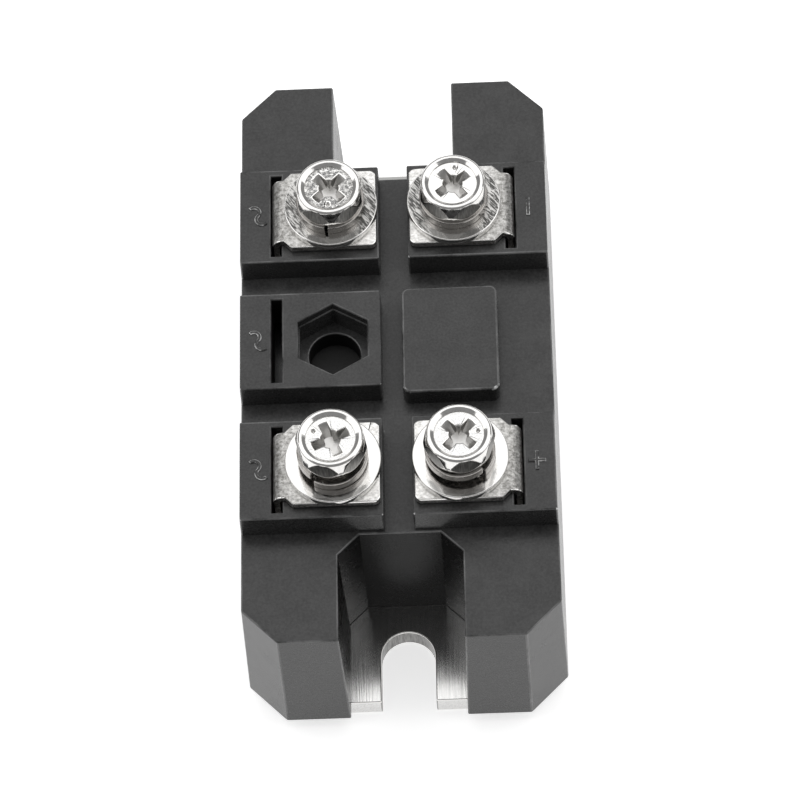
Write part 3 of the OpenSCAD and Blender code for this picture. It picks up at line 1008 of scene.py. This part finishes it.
def rubbed_nickel():
    finish = Finish("rubbed nickel edge", Metallic=1.0)
    cloud = finish.noise(2.0, 2.0)
    finish.feed(Base_Color=finish.blend(cloud, (0.8, 0.79, 0.77), (0.93, 0.92, 0.9)))
    finish.feed(Roughness=0.14 + cloud * 0.12)
    return finish.material


busbar_nickel = satin_nickel()
plate_nickel = brushed_nickel()
edge_nickel = rubbed_nickel()
print(busbar_nickel.name, plate_nickel.name, edge_nickel.name, sep=", ")

# %% [markdown]
# ## Finishes of the fasteners
#
# The fasteners are brighter than the busbars, because they are barrel polished.
# Two of the flat washers keep the slanting lines of rolling at their sides, where
# the face is also painted near-black as a dark reflection, and the spring washers
# are of a darker steel that shows through a thin plating.

# %% Finishes of the washers


def bright_nickel():
    finish = Finish("bright nickel", Metallic=1.0)
    cloud = finish.noise(1.6, 4.0, rough=0.6)
    finish.feed(Base_Color=finish.blend(cloud, (0.62, 0.61, 0.6), (0.86, 0.85, 0.83)))
    finish.feed(Roughness=0.06 + cloud * 0.12)
    finish.bump(cloud, 0.01)
    return finish.material


def hatched_nickel_with_painted_reflection():
    """A washer's face with the fine slanting lines of rolling at its two sides, painted near-black
    there as a dark reflection.
    """
    finish = Finish("rolled nickel, painted dark reflection at the sides", Metallic=1.0)
    lines = finish.noise(6.0, 2.0, stretch=(1.0, 0.14, 1.0), rough=0.6, turn=-38)
    beside = finish.math("ABSOLUTE", finish.math("ABSOLUTE", finish.axis("X")) - SCREW_X)
    # The two sides of the face are painted near-black as a dark reflection, with the rolling lines
    # left bright on it.
    sides = finish.between(beside, 2.8, 3.8)
    ridge = finish.between(lines, 0.44, 0.56) * sides
    tone = 1.0 - sides * 0.92 + ridge * 0.6
    finish.feed(Base_Color=finish.blend(tone, (0.03, 0.03, 0.028), (0.76, 0.75, 0.73)))
    finish.feed(Roughness=0.12 + sides * 0.16)
    finish.bump(ridge, 0.03)
    return finish.material


def spring_steel():
    """Tempered steel under a thin plating: darker and a little brown."""
    finish = Finish("spring steel", Metallic=1.0)
    cloud = finish.noise(1.4, 4.0, rough=0.6)
    finish.feed(Base_Color=finish.blend(cloud, (0.2, 0.19, 0.18), (0.48, 0.46, 0.44)))
    finish.feed(Roughness=0.14 + cloud * 0.2)
    finish.bump(cloud, 0.015)
    return finish.material


fastener_nickel = bright_nickel()
rolled_nickel_with_painted_reflection = hatched_nickel_with_painted_reflection()
dark_spring = spring_steel()
print(fastener_nickel.name, rolled_nickel_with_painted_reflection.name, dark_spring.name, sep=", ")

# %% [markdown]
# The faces of a screw head were made in different ways and shine differently. The
# flats keep the lines of the drawn bar, the dish is rough from the punch, and the
# recess, which the barrel can't reach, is thinly plated and dull.

# %% Finishes of the screw heads


def dish_nickel(name, dark, depth_mm=0.035):
    """The pressed floor of the dish, rough from the punch."""
    finish = Finish(name, Metallic=1.0)
    cloud = finish.noise(2.4, 5.0, rough=0.75)
    tone = finish.between(cloud, 0.4, 0.6)
    finish.feed(Base_Color=finish.blend(tone, (dark, dark, dark), (0.9, 0.89, 0.87)))
    finish.feed(Roughness=0.2 + tone * 0.14)
    finish.bump(tone, depth_mm)
    return finish.material


def recess_nickel():
    """The inside of the recess, where the plating is thin and dull."""
    finish = Finish("thin nickel", Metallic=1.0)
    cloud = finish.noise(1.8, 4.0, rough=0.6)
    finish.feed(Base_Color=finish.blend(cloud, (0.42, 0.415, 0.405), (0.74, 0.73, 0.715)))
    finish.feed(Roughness=0.26 + cloud * 0.12)
    finish.bump(cloud, 0.015)
    return finish.material


def drawn_nickel():
    """The flats, with the fine upright lines of the drawn bar."""
    finish = Finish("drawn nickel", Metallic=1.0)
    lines = finish.noise(5.0, 3.0, stretch=(1, 1, 0.12))
    tone = finish.between(lines, 0.3, 0.7)
    finish.feed(Base_Color=finish.blend(tone, (0.14, 0.138, 0.135), (0.4, 0.395, 0.385)))
    finish.feed(Roughness=0.24 + lines * 0.14)
    finish.bump(lines, 0.015)
    return finish.material


pressed_nickel = dish_nickel("pressed nickel", 0.16)
smoother_nickel = dish_nickel("pressed nickel, smoother", 0.75, 0.022)
thin_nickel = recess_nickel()
flat_nickel = drawn_nickel()
print("materials so far:", len(bpy.data.materials))

# %% [markdown]
# ## Inside the box
#
# Ceramic, copper, silicon, gel and resin are closed in, but they get their own
# finishes too, for anyone who takes the model apart. One function makes them all,
# because each only drifts between two close tones.

# %% Inner finishes


def speckled(name, low, high, scale, roughness, **constants):
    """A finish whose colour drifts between two close tones."""
    finish = Finish(name, **constants)
    cloud = finish.noise(scale, 4.0)
    finish.feed(Base_Color=finish.blend(finish.between(cloud, 0.3, 0.7), low, high))
    finish.feed(Roughness=roughness + cloud * 0.1)
    finish.bump(cloud, 0.01)
    return finish.material


ceramic = speckled("alumina ceramic", (0.72, 0.72, 0.7), (0.82, 0.82, 0.8), 2.0, 0.5)
copper = speckled(
    "etched copper", (0.62, 0.27, 0.16), (0.78, 0.4, 0.27), 1.2, 0.3, Metallic=1.0
)
silicon = speckled(
    "metallised silicon", (0.18, 0.18, 0.2), (0.3, 0.3, 0.33), 3.0, 0.2, Metallic=1.0
)
gel = speckled(
    "silicone gel", (0.86, 0.9, 0.92), (0.93, 0.95, 0.96), 0.4, 0.05,
    Transmission_Weight=0.85, IOR=1.41,
)
resin = speckled("potting resin", (0.012, 0.012, 0.013), (0.03, 0.03, 0.032), 0.5, 0.2)


def coat(piece, *materials):
    piece.data.materials.clear()
    for material in materials:
        piece.data.materials.append(material)


INSIDE = [
    (ceramic, ["ceramic_substrate"]),
    (copper, ["ac_pad_front", "ac_pad_rear", "positive_pad", "negative_pad"]),
    (copper, ["jumper_front", "jumper_rear", "negative_bridge"]),
    (silicon, [f"diode_chip_{number}" for number in range(1, 5)]),
    (gel, ["silicone_gel"]),
    (resin, ["potting_epoxy"]),
    (fastener_nickel, ["terminal_nuts"]),
]
for material, nodes in INSIDE:
    for node in nodes:
        coat(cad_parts[node], material)
print("inner solids coated:", sum(len(nodes) for material, nodes in INSIDE))

# %% [markdown]
# Each dressed piece now takes its finishes, in the order of its slots, and stands
# for the solid it was made from. The dishes differ too: the two in front are
# smoother, the rear left one is rough, and the rear right one was polished flat.

# %% Every piece gets its finish
DISH_FINISH = {
    "front_left": smoother_nickel,
    "front_right": smoother_nickel,
    "rear_left": pressed_nickel,
    "rear_right": fastener_nickel,
}


def take_place(piece, node, slot, *materials):
    """A dressed piece takes its finish, rides on the part and stands for its solid."""
    marks = [polygon.material_index for polygon in piece.data.polygons]
    coat(piece, *materials)
    piece.data.polygons.foreach_set("material_index", marks)
    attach(piece, "root")
    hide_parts(node)


take_place(housing, "housing", "housing_black", *housing_finishes)
take_place(base_plate, "base_plate", "plate_nickel", plate_nickel, edge_nickel, flat_nickel)
for node, busbar in busbars.items():
    take_place(busbar, node, "busbar_nickel", busbar_nickel, edge_nickel)
for name in SETS:
    top = rolled_nickel_with_painted_reflection if name.startswith("rear") else fastener_nickel
    take_place(washers[name], "flat_washers", "fastener_nickel", fastener_nickel, top)
    take_place(springs[name], "spring_washers", "fastener_nickel", dark_spring)
    take_place(screws[name], "terminal_screws", "fastener_nickel",
               fastener_nickel, DISH_FINISH[name], thin_nickel, flat_nickel, edge_nickel)
print("dressed pieces:", 2 + len(busbars) + 3 * len(SETS))

# %% [markdown]
# ## Floor and light
#
# A pale floor and a few large soft lights, as in a small product studio. The floor
# shows white to the eye and to the metal, but lights the part only as a pale
# surface does. Light Path tells the two apart: it says what kind of ray has
# reached the floor.

# %% Floor


def studio_rays(finish):
    """1 for rays from the eye, or mirrored or seen through; 0 for rays that light."""
    total = 0.0
    for name in ("Is Camera Ray", "Is Glossy Ray", "Is Transmission Ray"):
        ray = finish.node("ShaderNodeLightPath", output=name)
        total = finish.math("MAXIMUM", total, ray)
    return total


bpy.ops.object.select_all(action="DESELECT")
bpy.ops.mesh.primitive_plane_add(size=30, location=(0, 0, -0.05 * MM))
floor = bpy.context.object
floor.name = "floor"
floor_finish = Finish(
    "floor",
    Base_Color=(0.82, 0.82, 0.82, 1),
    Roughness=0.9,
    Specular_IOR_Level=0.0,
    Emission_Strength=0.62,
)
glow = floor_finish.blend(studio_rays(floor_finish), (0, 0, 0), (1, 1, 1))
floor_finish.feed(Emission_Color=glow)
coat(floor, floor_finish.material)
print("floor is", round(floor.dimensions.x), "m wide")

# %% [markdown]
# One large light hangs overhead and towards the back, where the washers and the
# dishes mirror it. Two smaller ones light up the left and right of each lip. Their
# level is low enough that a colour shows about as it is written.

# %% Lights


def soft_light(name, width, length, power, spot, aim=(0, 0, 0.02)):
    light = bpy.data.lights.new(name, "AREA")
    light.shape = "RECTANGLE"
    light.size = width
    light.size_y = length
    light.energy = power
    lamp = bpy.data.objects.new(name, light)
    bpy.context.scene.collection.objects.link(lamp)
    lamp.location = spot
    lamp.rotation_euler = (Vector(aim) - Vector(spot)).to_track_quat("-Z", "Y").to_euler()


soft_light("overhead", 1.2, 1.0, 4.6, (0, 0.3, 0.75))
for name, side in (("left", -1), ("right", 1)):
    soft_light(name, 0.45, 0.4, 0.7, (side * 0.5, 0.0, 0.4))

world = bpy.data.worlds.new("studio")
bpy.context.scene.world = world
world.use_nodes = True
background = world.node_tree.nodes["Background"]
background.inputs["Color"].default_value = (1, 1, 1, 1)
background.inputs["Strength"].default_value = 0.28
bpy.context.scene.view_settings.view_transform = "Standard"
print("lights:", [light.name for light in bpy.data.lights])
